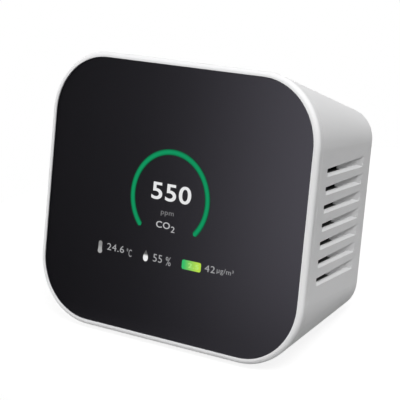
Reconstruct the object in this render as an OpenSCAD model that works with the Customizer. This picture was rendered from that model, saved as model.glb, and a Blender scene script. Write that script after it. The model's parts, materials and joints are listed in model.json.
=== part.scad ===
// Desktop air quality monitor: a white tub that tapers to the rear, closed by a black glass face.
// Pieces are drawn in the face frame: x to the right, y into the body from the front of the rim,
// z up along the face, origin at the middle of the face. stand() leans that frame back by the
// taper, so that the tapered base lies level on its four feet.

/* [Front] */
// Greatest width of the rim
front_w = 87; // [86:0.5:90]
// Greatest height of the rim
front_h = 76; // [75:0.5:79]
// Corner radius of the rim
front_r = 18; // [17.5:0.5:19]
// Width of the white rim beside the glass
rim_w = 1.5; // [1.2:0.1:1.8]
// Radius of the rim's front edge
rim_edge_r = 1.2; // [0.8:0.1:1.3]
// How far the rim stands proud of the glass
rim_proud = 0.25; // [0.1:0.05:0.3]
// Thickness of the cover glass
glass_t = 1.6; // [1.4:0.1:1.7]
// Depth of the parting line between frame and housing
part_y = 3.4; // [3.3:0.1:3.6]

/* [Housing] */
// Depth of the body from rim to rear wall
depth = 48; // [47.5:0.5:52]
// Lean of each side towards the rear, in degrees
taper = 12.5; // [12:0.1:12.8]
// Thickness of the moulded walls
wall = 2.2; // [1.8:0.1:2.4]
// Radius of the edge round the rear wall
rear_edge_r = 3.5; // [3:0.1:4]
// Sideways place of the deep screw posts
post_x = 25.5; // [25:0.1:25.6]
// Upright place of the deep screw posts
post_z = 19.5; // [19:0.1:20]

/* [Vents] */
// Slots on each side
slot_count = 7; // [3:2:7]
// Distance from slot to slot
slot_pitch = 4.73; // [4.5:0.01:5]
// Height of the middle slot's sill above the middle of the face
slot_z = -0.6; // [-1.5:0.1:0.5]
// Depth at which the slots start
slot_start = 8.5; // [8:0.5:12]
// Depth at which the slots end
slot_end = 39.5; // [36:0.5:42]
// Climb of the slots towards the rear, in degrees
slot_climb = 1; // [0:0.5:2]
// Height of a slot above its sill, at its front end
slot_h = 1.4; // [1.2:0.1:1.6]
// How much higher a slot is at its rear end
slot_flare = 0.7; // [0:0.05:0.8]
// Radius at the corners of a slot
slot_end_r = 0.5; // [0.3:0.1:0.5]
// Length of a slot's front part, which is open to the inside
slot_open = 14; // [8:0.5:18]
// Wall left where a slot's ramp meets its open part
ramp_land = 0.3; // [0.2:0.1:0.6]
// Depth at which a slot's ramp passes into its scoop
ramp_shallow = 0.7; // [0.5:0.1:0.9]
// Length of the scoop at a slot's rear end
slot_scoop = 5.5; // [3:0.5:6]
// Depth of the bevelled sill under a slot
sill_deep = 0.5; // [0.3:0.1:0.5]
// Height of the bevelled sill under a slot
sill_h = 0.75; // [0.5:0.05:1]

/* [Display] */
// Width of the display panel
panel_w = 60; // [56:0.5:61]
// Height of the display panel
panel_h = 42.6; // [38:0.2:43]
// Width of the main board
board_w = 68; // [66:0.5:70]
// Height of the main board
board_h = 56; // [55:0.5:57]

/* [Sensors] */
// Width of the dust sensor's case
dust_w = 38; // [37.5:0.1:38.5]
// Height of the dust sensor's case
dust_h = 35; // [34.5:0.1:35]
// Outer radius of the fan's blades
fan_r = 9.2; // [8.5:0.1:9.4]
// Blades on the fan
fan_blades = 11; // [7:2:13]
// Radius of the fan's shaft
shaft_r = 0.75; // [0.6:0.05:1]
// Running clearance between shaft and fan
shaft_gap = 0.04; // [0.02:0.01:0.08]

/* [Controls] */
// Sideways place of the charging socket
socket_x = -8; // [-9:0.5:-6.5]
// Sideways place of the power button
button_x = 8; // [7.5:0.5:8]
// Upright place of the socket and the button
control_z = -18; // [-18.4:0.1:-18]
// Radius of the power button
button_r = 3.85; // [3.4:0.05:3.9]
// Travel of the power button
button_travel = 0.5; // [0.3:0.05:0.6]

/* [Feet] */
// Radius of a foot
foot_r = 4.4; // [3.5:0.1:4.8]
// Height of the base above the table
foot_h = 1.2; // [0.8:0.1:1.6]
// Sideways place of the feet
foot_x = 20; // [16:0.5:20.5]
// Depth of the front feet
foot_front = 10; // [9:0.5:12]
// Depth of the rear feet
foot_rear = 38; // [34:0.5:39]

/* [Hidden] */
$fn = 48;
// Small clearance between pieces that are seated on each other
seat = 0.05;
// How far a cutter runs past the face that it cuts
over = 1;
// How far a boss or rib runs into the wall that carries it
root = 0.5;
// What pilot holes and through holes add to the radius of their screw
pilot_gap = 0.05;
through_gap = 0.15;
// Bevel round the end of the button and of the feet
bevel = 0.4;

// Corner axes, shared by every rounded rectangle behind the face
corner_x = front_w / 2 - front_r;
corner_z = front_h / 2 - front_r;
// Distance from a corner axis to the skin's slanted side, carried to the front plane
skin_r = front_r + rim_edge_r * (tan(taper) + 1 / cos(taper) - 1);
function skin(y, inset) = skin_r - y * tan(taper) - inset / cos(taper);

// Screws: radius and height of the heads, radius and length of the shanks
small_head = [1.8, 1.2];
case_head = [2.3, 1.8];
chassis_shank = [0.9, 3];
board_shank = [0.75, 3.4];
sensor_shank = [0.8, 6];
io_shank = [0.8, 5.5];
case_shank = [1.2, 10.5];
board_hole_r = 1.1;

// Front stack, from the rim to the chassis
glass_s = front_r - rim_w;
glass_gap = 0.1;
glass_y = rim_proud;
tape_t = 0.3;
tape_y = glass_y + glass_t;
shelf_y = tape_y + tape_t;
part_gap = 0.12;
skirt_y = 7.4;
skirt_t = 1.4;
skirt_gap = 0.25;
skirt_s = skin(skirt_y, wall) - skirt_gap;
panel_y = tape_y + 0.1;
panel_t = 1.2;
tray_y = panel_y + panel_t + seat;
tray_t = 1.35;
chassis_y = 4.95;
chassis_t = 1.55;
chassis_gap = 0.4;
chassis_s = skirt_s - skirt_t - chassis_gap;
chassis_back = chassis_y + chassis_t;
frame_boss_x = 33;
frame_boss_z = 26.5;

// Main board and what stands on it
board_y = 8.3;
board_t = 1.6;
board_back = board_y + board_t;
board_face = board_back + seat;
board_screw_x = 30;
board_screw_z = 10;
case_boss_y = 15;
ribbon_t = 0.2;
ribbon_w = 7;
ribbon_y = board_face + 0.6;
plug_wall = 0.4;
plug_deep = 3.2;
io_plug_x = -16;
io_plug_z = -24.5;
sensor_plug_x = 12;
sensor_plug_z = -19.2;

// Gas sensor on the main board
gas_x = -8;
gas_board_t = 1;
gas_cell_y = board_face + gas_board_t + seat;
gas_cell_t = 6.4;
gas_well = 0.4;
gas_well_y = gas_cell_y + gas_cell_t - gas_well;

// Climate sensor on edge behind the vents
climate_x = 31.6;
climate_w = 10;
climate_t = 0.8;

// Dust sensor, flat behind the main board
dust_y = 21.8;
dust_base_t = 9.6;
dust_lid_y = dust_y + dust_base_t;
dust_lid_t = 1.6;
dust_wall = 1.5;
dust_r = 2.5;
dust_floor = dust_y + dust_wall;
ear_t = 2;
standoff_x = 21.5;
fan_x = 7;
fan_z = 4.5;
fan_y = dust_floor + 2.4;
fan_t = 4.4;
laser_z = -11.5;
laser_y = dust_floor + 4;
laser_r = 2.5;
dust_board_x = -11.5;
dust_board_rise = 1;

// Rear wall and what is screwed to it
rear_in = depth - wall;
head_seat = 19;
io_back = depth - 8.5;
io_t = 1.6;
io_y = io_back - io_t;
io_screw_x = 16.5;
socket_floor = 1.2;
socket_wall = 0.3;
socket_w = 8.94;
socket_h = 3.2;
switch_t = 3.5;
plunger_end = io_back + 4.6;
flange_t = 1.2;
flange_end = rear_in - 0.1;
battery_t = 8.5;
battery_pad_t = 1;
battery_back = rear_in - battery_pad_t - 2 * seat;
battery_y = battery_back - battery_t;
battery_h = 35;
battery_z = 7.5;
plug_x = 14;
plug_z = -13.6;
plug_h = 2.8;

// Lean and place of the face frame on the table
base_z = (corner_z + skin_r) * cos(taper);
front_edge_y = rim_edge_r * (cos(taper) - 1) - (corner_z + skin(rim_edge_r, rim_edge_r)) * sin(taper);
rear_edge_y = (depth - rear_edge_r) * cos(taper) + rear_edge_r
    + (corner_z + skin(depth - rear_edge_r, rear_edge_r)) * sin(taper);
stand_y = -(front_edge_y + rear_edge_y) / 2;
pocket_t = 0.6;
pocket_gap = 0.15;
function foot_y(y) = stand_y + y / cos(taper) - (corner_z + skin_r) * sin(taper);

// Leans the face frame back and sets its base level
module stand() {
    translate([0, stand_y, base_z + foot_h])
        rotate([-taper, 0, 0])
            children();
}

// Plate of an x, z outline from one depth to another
module slab(y0, y1) {
    translate([0, y1, 0])
        rotate([90, 0, 0])
            linear_extrude(height = y1 - y0)
                children();
}

// Bar of a y, z outline from one x to another
module across(x0, x1) {
    translate([x0, 0, 0])
        rotate([90, 0, 90])
            linear_extrude(height = x1 - x0)
                children();
}

// Round bar along the depth, with its radius at the front and, where it tapers, at the rear
module pin(x, z, y0, y1, r0, r1 = 0) {
    translate([x, y1, z])
        rotate([90, 0, 0])
            cylinder(h = y1 - y0, r1 = r1 > 0 ? r1 : r0, r2 = r0);
}

module corners(x, z) {
    for (sx = [-1, 1], sz = [-1, 1])
        translate([sx * x, 0, sz * z])
            children();
}

module sides(x) {
    for (sx = [-1, 1])
        translate([sx * x, 0, 0])
            children();
}

module round_rect(w, h, r) {
    square([w - 2 * r, h], center = true);
    square([w, h - 2 * r], center = true);
    for (sx = [-1, 1], sz = [-1, 1])
        translate([sx * (w / 2 - r), sz * (h / 2 - r)])
            circle(r);
}

module stadium(w, h) {
    square([w - h, h], center = true);
    for (sx = [-1, 1])
        translate([sx * (w - h) / 2, 0])
            circle(h / 2);
}

// Rounded rectangle on the corner axes of the face
module face_plate(s) {
    round_rect(2 * (corner_x + s), 2 * (corner_z + s), s);
}

// Section of the tapered skin, from a base line out to the slanted side, with round edges
module skin_section(base, inset, y0, y1, e0, e1) {
    s0 = skin(y0 + e0, inset + e0);
    s1 = skin(y1 - e1, inset + e1);
    lean = [cos(taper), sin(taper)];
    front_pts = e0 > 0 ? [[s0, y0], [s0, y0 + e0] + e0 * lean] : [[s0, y0]];
    rear_pts = e1 > 0 ? [[s1, y1 - e1] + e1 * lean, [s1, y1]] : [[s1, y1]];
    polygon(concat([[base, y0]], front_pts, rear_pts, [[base, y1]]));
    if (e0 > 0)
        translate([s0, y0 + e0])
            circle(e0);
    if (e1 > 0)
        translate([s1, y1 - e1])
            circle(e1);
}

// Solid with four tapered sides and cone corners, its skin set in by inset
module tapered_body(inset, y0, y1, e0 = 0, e1 = 0) {
    half = [corner_x, corner_z];
    for (side = [0:3])
        rotate([0, 90 * side, 0])
            translate([half[side % 2], 0, 0])
                linear_extrude(height = 2 * half[(side + 1) % 2], center = true)
                    skin_section(-half[side % 2], inset, y0, y1, e0, e1);
    corners(corner_x, corner_z)
        rotate([-90, 0, 0])
            rotate_extrude()
                skin_section(0, inset, y0, y1, e0, e1);
}

// Cross-head screw along the depth: its head stands from y towards head_dir, its shank the other way
module screw(x, z, y, head_dir, head, shank) {
    head_y = y + head_dir * head[1];
    shank_y = y - head_dir * shank[1];
    cross_deep = head[1] / 2;
    cross_w = 1.2 * head[0];
    cross_t = 0.3 * head[0];
    difference() {
        union() {
            pin(x, z, min(y, head_y), max(y, head_y), head[0]);
            pin(x, z, min(y, shank_y), max(y, shank_y), shank[0]);
        }
        for (turn = [0, 90])
            translate([x, head_y + head_dir * (over - cross_deep) / 2, z])
                rotate([0, turn, 0])
                    cube([cross_w, cross_deep + over, cross_t], center = true);
    }
}

// Flat cable with one round bend: along y at z0, then up at y1, at constant width
module bent_ribbon(x, y0, y1, z0, z1, bend) {
    across(x - ribbon_w / 2, x + ribbon_w / 2) {
        translate([y0, z0 - ribbon_t / 2])
            square([y1 - bend - y0, ribbon_t]);
        translate([y1 - ribbon_t / 2, z0 + bend])
            square([ribbon_t, z1 - z0 - bend]);
        translate([y1 - bend, z0 + bend])
            intersection() {
                difference() {
                    circle(bend + ribbon_t / 2);
                    circle(bend - ribbon_t / 2);
                }
                translate([0, -2 * bend])
                    square(2 * bend);
            }
    }
}

module front_frame() {
    boss_r = 2.4;
    pilot_deep = 0.3;
    window_gap = 0.4;
    window_r = 1;
    color("white")
    stand() {
        difference() {
            union() {
                tapered_body(0, 0, part_y, rim_edge_r);
                slab(part_y - over, skirt_y)
                    face_plate(skirt_s);
            }
            slab(-over, shelf_y)
                face_plate(glass_s + glass_gap);
            slab(-over, part_y + over)
                round_rect(panel_w + 2 * window_gap, panel_h + 2 * window_gap, window_r);
            slab(part_y, skirt_y + over)
                face_plate(skirt_s - skirt_t);
        }
        corners(frame_boss_x, frame_boss_z)
            difference() {
                pin(0, 0, part_y - root, chassis_y - seat, boss_r);
                pin(0, 0, part_y - pilot_deep, chassis_y, chassis_shank[0] + pilot_gap);
            }
    }
}

module cover_glass() {
    color("black")
    stand()
        slab(glass_y, tape_y)
            face_plate(glass_s);
}

module glass_tape() {
    tape_inset = 0.4;
    window_gap = 1.5;
    color("dimgray")
    stand()
        slab(tape_y, shelf_y)
            difference() {
                face_plate(glass_s - tape_inset);
                square([panel_w + 2 * window_gap, panel_h + 2 * window_gap], center = true);
            }
}

module display_panel() {
    color("darkslategray")
    stand()
        slab(panel_y, panel_y + panel_t)
            square([panel_w, panel_h], center = true);
}

// Folded tray with the light guide: floor at the rear, low walls round the edge
module backlight_tray() {
    tray_w = panel_w - 0.6;
    tray_h = panel_h - 0.6;
    tray_r = 1.5;
    tray_wall = 1.2;
    tray_floor = 0.4;
    color("silver")
    stand()
        difference() {
            slab(tray_y, tray_y + tray_t)
                round_rect(tray_w, tray_h, tray_r);
            slab(tray_y - over, tray_y + tray_t - tray_floor)
                square([tray_w - 2 * tray_wall, tray_h - 2 * tray_wall], center = true);
        }
}

// Flat cable that drops behind the tray and folds up round the board's lower edge
module display_cable() {
    cable_w = 14;
    front = chassis_y - ribbon_t;
    bend = (ribbon_y - front) / 2;
    low = -board_h / 2 - 0.6;
    top = -panel_h / 2 + 4;
    tail = 2.2;
    color("peru")
    stand()
        across(-cable_w / 2, cable_w / 2) {
            translate([front - ribbon_t / 2, low])
                square([ribbon_t, top - low]);
            translate([ribbon_y - ribbon_t / 2, low])
                square([ribbon_t, tail]);
            translate([front + bend, low])
                difference() {
                    circle(bend + ribbon_t / 2);
                    circle(bend - ribbon_t / 2);
                    translate([-2 * bend, 0])
                        square(4 * bend);
                }
        }
}

// Inner plate: closes the display and carries the boards and the case screws
module chassis() {
    post_r = [3.2, 2.8];
    post_pilot_y = 8;
    board_boss_r = 2.3;
    board_pilot_y = chassis_y + 0.5;
    window = [18, 28];
    window_r = 3;
    window_x = 11;
    window_z = 2;
    cable_window = [17, 14];
    cable_window_z = -30;
    color("gainsboro")
    stand()
        difference() {
            union() {
                slab(chassis_y, chassis_back)
                    face_plate(chassis_s);
                corners(post_x, post_z)
                    pin(0, 0, chassis_back - root, case_boss_y, post_r[0], post_r[1]);
                corners(board_screw_x, board_screw_z)
                    pin(0, 0, chassis_back - root, board_y - seat, board_boss_r);
            }
            translate([0, 0, window_z])
                sides(window_x)
                    slab(chassis_y - over, chassis_back + over)
                        round_rect(window[0], window[1], window_r);
            translate([0, 0, cable_window_z])
                slab(chassis_y - over, chassis_back + over)
                    square(cable_window, center = true);
            corners(post_x, post_z)
                pin(0, 0, post_pilot_y, case_boss_y + over, case_shank[0] + pilot_gap);
            corners(board_screw_x, board_screw_z)
                pin(0, 0, board_pilot_y, board_y + over, board_shank[0] + pilot_gap);
            corners(frame_boss_x, frame_boss_z)
                pin(0, 0, chassis_y - over, chassis_back + over, chassis_shank[0] + through_gap);
        }
}

module chassis_screws() {
    color("silver")
    stand()
        corners(frame_boss_x, frame_boss_z)
            screw(0, 0, chassis_back + seat, 1, small_head, chassis_shank);
}

module main_board() {
    board_r = 3;
    post_hole_r = 3.6;
    standoff_hole_r = 1.45;
    color("darkgreen")
    stand()
        difference() {
            slab(board_y, board_back)
                round_rect(board_w, board_h, board_r);
            corners(post_x, post_z)
                pin(0, 0, board_y - over, board_back + over, post_hole_r);
            corners(board_screw_x, board_screw_z)
                pin(0, 0, board_y - over, board_back + over, board_hole_r);
            sides(standoff_x)
                pin(0, 0, board_y - over, board_back + over, standoff_hole_r);
        }
}

module board_screws() {
    color("silver")
    stand()
        corners(board_screw_x, board_screw_z)
            screw(0, 0, board_face, 1, small_head, board_shank);
}

// Flat chip with a round mark at its first leg
module processor_chip() {
    chip_x = 12;
    chip_z = -9;
    chip_w = 10;
    chip_t = 1.3;
    chip_r = 0.4;
    mark_at = 3.6;
    mark_r = 0.5;
    mark_deep = 0.2;
    color("dimgray")
    stand()
        translate([chip_x, 0, chip_z])
            difference() {
                slab(board_face, board_face + chip_t)
                    round_rect(chip_w, chip_w, chip_r);
                pin(-mark_at, mark_at, board_face + chip_t - mark_deep, board_face + chip_t + over, mark_r);
            }
}

// Small carrier board with a shield can and a bare strip for the antenna
module radio_module() {
    carrier_x = 12;
    carrier_z = board_h / 2 - 12.9;
    carrier = [18, 25.5];
    carrier_t = 0.8;
    can_w = 15.8;
    can_h = 17.6;
    can_t = 2.4;
    can_r = 0.8;
    antenna_strip = 3;
    color("silver")
    stand()
        translate([carrier_x, 0, carrier_z]) {
            slab(board_face, board_face + carrier_t)
                square(carrier, center = true);
            translate([0, 0, -antenna_strip])
                slab(board_face + carrier_t, board_face + carrier_t + can_t)
                    round_rect(can_w, can_h, can_r);
        }
}

module buzzer() {
    can_z = board_h / 2 - 5.3;
    can_r = [4.5, 4.3];
    can_t = 4.5;
    hole_r = 0.9;
    hole_deep = 1;
    color("dimgray")
    stand()
        translate([gas_x, 0, can_z])
            difference() {
                pin(0, 0, board_face, board_face + can_t, can_r[0], can_r[1]);
                pin(0, 0, board_face + can_t - hole_deep, board_face + can_t + over, hole_r);
            }
}

// Low plug housing on the main board, with a slit for its ribbon
module board_connector(x, z) {
    plug_w = ribbon_w + 3;
    plug_t = 2;
    slit = [ribbon_w + 1, 1.4];
    translate([x, 0, z])
        difference() {
            slab(board_face, board_face + plug_t)
                square([plug_w, plug_deep], center = true);
            slab(board_face + plug_wall, board_face + plug_t + over)
                square(slit, center = true);
        }
}

// Flat plug for the display's cable, with its slit in the lower edge
module display_connector() {
    plug_z = -board_h / 2 + 3.3;
    plug_w = 16;
    plug_t = 1.2;
    slit = [14.6, 2.4];
    color("ivory")
    stand()
        translate([0, 0, plug_z])
            difference() {
                slab(board_face, board_face + plug_t)
                    square([plug_w, plug_deep], center = true);
                translate([0, 0, -over])
                    slab(board_face + plug_wall, board_face + plug_t - plug_wall)
                        square(slit, center = true);
            }
}

module io_connector() {
    color("ivory")
    stand()
        board_connector(io_plug_x, io_plug_z);
}

module sensor_connector() {
    color("ivory")
    stand()
        board_connector(sensor_plug_x, sensor_plug_z);
}

module co2_sensor_board() {
    carrier_w = 20;
    carrier_h = 33.5;
    carrier_r = 1;
    color("darkgreen")
    stand()
        translate([gas_x, 0, 0])
            slab(board_face, board_face + gas_board_t)
                round_rect(carrier_w, carrier_h, carrier_r);
}

// Folded light path of the gas sensor: a stepped chamber with two end blocks and a vent well
module co2_sensor_cell() {
    chamber_w = 16.5;
    chamber_h = 24;
    chamber_r = 2.5;
    end_w = 14;
    end_h = 31;
    end_t = 4.6;
    end_r = 2;
    well_w = 11.4;
    well_h = 15.4;
    well_r = 1.2;
    vent_w = 7;
    vent_h = 1.2;
    vent_deep = 1;
    vent_pitch = 2.8;
    color("goldenrod")
    stand()
        translate([gas_x, 0, 0])
            difference() {
                union() {
                    slab(gas_cell_y, gas_cell_y + gas_cell_t)
                        round_rect(chamber_w, chamber_h, chamber_r);
                    slab(gas_cell_y, gas_cell_y + end_t)
                        round_rect(end_w, end_h, end_r);
                }
                slab(gas_well_y, gas_well_y + gas_well + over)
                    round_rect(well_w, well_h, well_r);
                for (k = [-2:2])
                    translate([0, 0, k * vent_pitch])
                        slab(gas_well_y - vent_deep, gas_well_y + over)
                            stadium(vent_w, vent_h);
            }
}

module co2_filter() {
    filter_w = 11;
    filter_h = 15;
    filter_t = 0.5;
    filter_r = 1;
    color("white")
    stand()
        translate([gas_x, 0, 0])
            slab(gas_well_y + seat, gas_well_y + seat + filter_t)
                round_rect(filter_w, filter_h, filter_r);
}

module sensor_standoffs() {
    standoff_r = 2.3;
    stud_r = 1.4;
    stud_y = board_y + 0.2;
    bore_deep = 6;
    color("goldenrod")
    stand()
        sides(standoff_x)
            difference() {
                union() {
                    pin(0, 0, board_face, dust_y - seat, standoff_r);
                    pin(0, 0, stud_y, board_face + root, stud_r);
                }
                pin(0, 0, dust_y - bore_deep, dust_y, sensor_shank[0] + pilot_gap);
            }
}

module sensor_screws() {
    color("silver")
    stand()
        sides(standoff_x)
            screw(0, 0, dust_y + ear_t + seat, 1, small_head, sensor_shank);
}

module sensor_cable() {
    tail_y = 26;
    tail_z = -dust_h / 2 - seat;
    bend = 1.4;
    color("whitesmoke")
    stand()
        bent_ribbon(sensor_plug_x, ribbon_y, tail_y, sensor_plug_z, tail_z, bend);
}

// Case of the dust sensor: floor, walls, ears, round fan wall, saddles and two side ports
module particle_sensor_base() {
    inner_r = dust_r - 1;
    ear_h = 6.4;
    fan_wall_r = fan_r + 0.8;
    fan_wall_t = 1.1;
    fan_wall_end = dust_lid_y - 0.3;
    outlet = [8, 6];
    outlet_x = -1;
    outlet_z = -fan_r - 3;
    saddle = [1.6, 6];
    saddle_rise = 1.4;
    saddle_x = [-12.5, -6.5];
    ear_root = 1;
    rib = [9, 1.4];
    rib_z = [-4, 13];
    rib_rise = dust_board_rise - 0.1;
    port_y = dust_floor + 3.6;
    port_deep = 4.6;
    port_h = 7;
    port_r = 1;
    port_z = [-11, 10.5];
    color("slategray")
    stand()
        difference() {
            union() {
                difference() {
                    slab(dust_y, dust_lid_y)
                        round_rect(dust_w, dust_h, dust_r);
                    slab(dust_floor, dust_lid_y + over)
                        round_rect(dust_w - 2 * dust_wall, dust_h - 2 * dust_wall, inner_r);
                }
                slab(dust_y, dust_y + ear_t)
                    difference() {
                        stadium(2 * standoff_x + ear_h, ear_h);
                        square([dust_w - 2 * ear_root, ear_h + over], center = true);
                    }
                translate([fan_x, 0, fan_z])
                    slab(dust_floor - root, fan_wall_end)
                        difference() {
                            circle(fan_wall_r + fan_wall_t);
                            circle(fan_wall_r);
                            translate([outlet_x, outlet_z])
                                square(outlet);
                        }
                for (x = saddle_x)
                    translate([x, 0, laser_z])
                        slab(dust_floor - root, dust_floor + saddle_rise)
                            square(saddle, center = true);
                for (z = rib_z)
                    translate([dust_board_x, 0, z])
                        slab(dust_floor - root, dust_floor + rib_rise)
                            square(rib, center = true);
            }
            sides(standoff_x)
                pin(0, 0, dust_y - over, dust_y + ear_t + over, board_hole_r);
            for (z = port_z)
                across(dust_w / 2 - 2 * dust_wall, dust_w / 2 + over)
                    translate([port_y, z])
                        round_rect(port_deep, port_h, port_r);
        }
}

// Lid with a ring of slots above the fan
module particle_sensor_lid() {
    ring_r = 6;
    ring_count = 8;
    slot_l = 4.6;
    slot_w = 1.6;
    color("slategray")
    stand()
        slab(dust_lid_y + seat, dust_lid_y + dust_lid_t)
            difference() {
                round_rect(dust_w, dust_h, dust_r);
                translate([fan_x, fan_z])
                    for (k = [0:ring_count - 1])
                        rotate(k * 360 / ring_count)
                            translate([ring_r, 0])
                                stadium(slot_l, slot_w);
            }
}

module particle_sensor_board() {
    card = [10, 20];
    card_t = 1;
    card_y = dust_floor + dust_board_rise;
    card_z = 4.5;
    color("darkgreen")
    stand()
        translate([dust_board_x, 0, card_z])
            slab(card_y, card_y + card_t)
                square(card, center = true);
}

// Laser barrel with a stepped nose, lying along x on its saddles
module laser_module() {
    barrel_x = -14.5;
    barrel_l = 9;
    nose_r = 1.7;
    nose_l = 2;
    lens_r = 1;
    lens_deep = 1.5;
    color("goldenrod")
    stand()
        translate([barrel_x, laser_y, laser_z])
            rotate([0, 90, 0])
                difference() {
                    union() {
                        cylinder(h = barrel_l, r = laser_r);
                        cylinder(h = barrel_l + nose_l, r = nose_r);
                    }
                    translate([0, 0, barrel_l + nose_l - lens_deep])
                        cylinder(h = lens_deep + over, r = lens_r);
                }
}

// Motor can under the fan, with the shaft that the fan turns on
module fan_motor() {
    can_r = [4.2, 4];
    can_gap = 0.5;
    shaft_end = fan_y + fan_t + 0.3;
    color("dimgray")
    stand()
        translate([fan_x, 0, fan_z]) {
            pin(0, 0, dust_floor + seat, fan_y - can_gap, can_r[0], can_r[1]);
            pin(0, 0, fan_y - can_gap - root, shaft_end, shaft_r);
        }
}

// Impeller: hub on the shaft, back plate and curved blades cut from rings
module fan_rotor() {
    hub_r = [4.6, 4.2];
    plate_t = 0.7;
    blade_t = 0.7;
    blade_gap = 0.3;
    blade_bend = fan_r * 0.75;
    blade_at = fan_r * 0.62;
    blade_root = 3.6;
    blade_low = -2;
    blade_span = 3.2;
    color("darkgray")
    stand()
        translate([fan_x, 0, fan_z])
            difference() {
                union() {
                    pin(0, 0, fan_y, fan_y + fan_t, hub_r[0], hub_r[1]);
                    pin(0, 0, fan_y, fan_y + plate_t, fan_r);
                    slab(fan_y + plate_t / 2, fan_y + fan_t - blade_gap)
                        intersection() {
                            circle(fan_r);
                            for (k = [0:fan_blades - 1])
                                rotate(k * 360 / fan_blades)
                                    intersection() {
                                        translate([blade_at, -blade_bend])
                                            difference() {
                                                circle(blade_bend + blade_t / 2);
                                                circle(blade_bend - blade_t / 2);
                                            }
                                        translate([blade_root, blade_low])
                                            square([fan_r, blade_span]);
                                    }
                        }
                }
                pin(0, 0, fan_y - over, fan_y + fan_t + over, shaft_r + shaft_gap);
            }
}

module climate_sensor_board() {
    color("darkgreen")
    stand()
        across(climate_x, climate_x + climate_t)
            translate([board_face + climate_w / 2, 0])
                round_rect(climate_w, climate_w, climate_t);
}

module climate_sensor_chip() {
    chip_w = 3;
    chip_t = 0.85;
    chip_x = climate_x + climate_t + seat;
    chip_y = board_face + 7;
    color("dimgray")
    stand()
        across(chip_x, chip_x + chip_t)
            translate([chip_y, 0])
                square(chip_w, center = true);
}

module io_board() {
    card_w = 40;
    card_h = 12.4;
    card_r = 1;
    card_z = control_z + 0.2;
    color("darkgreen")
    stand()
        difference() {
            translate([0, 0, card_z])
                slab(io_y, io_back)
                    round_rect(card_w, card_h, card_r);
            sides(io_screw_x)
                pin(0, control_z, io_y - over, io_back + over, board_hole_r);
        }
}

module io_screws() {
    color("silver")
    stand()
        sides(io_screw_x)
            screw(0, control_z, io_y - seat, -1, small_head, io_shank);
}

// Flat cable from the main board, soldered to the front of the small board at the rear wall
module io_cable() {
    tail_y = io_y - seat - ribbon_t / 2;
    tail_z = control_z - 3.6;
    bend = 1.5;
    color("whitesmoke")
    stand()
        bent_ribbon(io_plug_x, ribbon_y, tail_y, io_plug_z, tail_z, bend);
}

// Drawn steel shell of the charging socket, closed at the board
module charging_socket() {
    mouth = depth - 0.6;
    color("silver")
    stand()
        translate([socket_x, 0, control_z])
            difference() {
                slab(io_back + seat, mouth)
                    stadium(socket_w, socket_h);
                slab(io_back + socket_floor, mouth + over)
                    stadium(socket_w - 2 * socket_wall, socket_h - 2 * socket_wall);
            }
}

module socket_tongue() {
    tongue = [6.7, 0.7];
    tongue_end = depth - 1.6;
    color("dimgray")
    stand()
        translate([socket_x, 0, control_z])
            slab(io_back + socket_floor + seat, tongue_end)
                square(tongue, center = true);
}

module switch_body() {
    body_w = 6;
    body_r = 0.5;
    well_r = 1.9;
    well_floor = 1.3;
    color("dimgray")
    stand()
        translate([button_x, 0, control_z])
            difference() {
                slab(io_back + seat, io_back + switch_t)
                    round_rect(body_w, body_w, body_r);
                pin(0, 0, io_back + well_floor, io_back + switch_t + over, well_r);
            }
}

module switch_plunger() {
    plunger_r = 1.65;
    plunger_y = io_back + 1.6 + button_travel;
    color("ivory")
    stand()
        pin(button_x, control_z, plunger_y, plunger_end, plunger_r);
}

// Cap with a bevelled end, a flange behind the wall and a stem on the switch
module power_button() {
    cap_end = depth + 0.6;
    stem_r = 1.6;
    flange_r = button_r + 0.9;
    flange_y = flange_end - flange_t;
    color("whitesmoke")
    stand()
        translate([button_x, 0, control_z]) {
            pin(0, 0, plunger_end + seat, flange_end, stem_r);
            pin(0, 0, flange_y, flange_end, flange_r);
            pin(0, 0, flange_y, cap_end - bevel, button_r);
            pin(0, 0, cap_end - bevel, cap_end, button_r, button_r - bevel);
        }
}

// Pouch cell: thick body with a thin sealed edge at the end where the leads come out
module battery() {
    cell_w = 41;
    cell_r = 2.5;
    edge_w = 38;
    edge_y = battery_y + 3;
    edge_t = 1.6;
    edge_h = 1.5;
    edge_r = 1;
    color("lightsteelblue")
    stand()
        translate([0, 0, battery_z]) {
            slab(battery_y, battery_back)
                round_rect(cell_w, battery_h - 2 * edge_h, cell_r);
            slab(edge_y, edge_y + edge_t)
                round_rect(edge_w, battery_h, edge_r);
        }
}

module battery_pad() {
    pad_w = 30;
    pad_h = 22;
    pad_r = 1;
    color("dimgray")
    stand()
        translate([0, 0, battery_z])
            slab(battery_back + seat, rear_in - seat)
                round_rect(pad_w, pad_h, pad_r);
}

module battery_connector() {
    plug_w = 5.4;
    plug_t = 2.5;
    color("ivory")
    stand()
        translate([plug_x, 0, plug_z])
            slab(io_back + seat, io_back + plug_t)
                square([plug_w, plug_h], center = true);
}

// Two short leads from the plug up to the sealed edge of the cell
module battery_leads() {
    lead_r = 0.55;
    lead_at = 1.3;
    lead_y = io_back + 0.65;
    low = plug_z + plug_h / 2 + seat;
    high = battery_z - battery_h / 2 - seat;
    color("firebrick")
    stand()
        translate([plug_x, lead_y, low])
            sides(lead_at)
                cylinder(h = high - low, r = lead_r);
}

// Pockets in the base that take the feet
module foot_pockets() {
    for (sx = [-1, 1], y = [foot_front, foot_rear])
        translate([sx * foot_x, foot_y(y), foot_h - over])
            cylinder(h = over + pocket_t, r = foot_r + pocket_gap);
}

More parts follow.
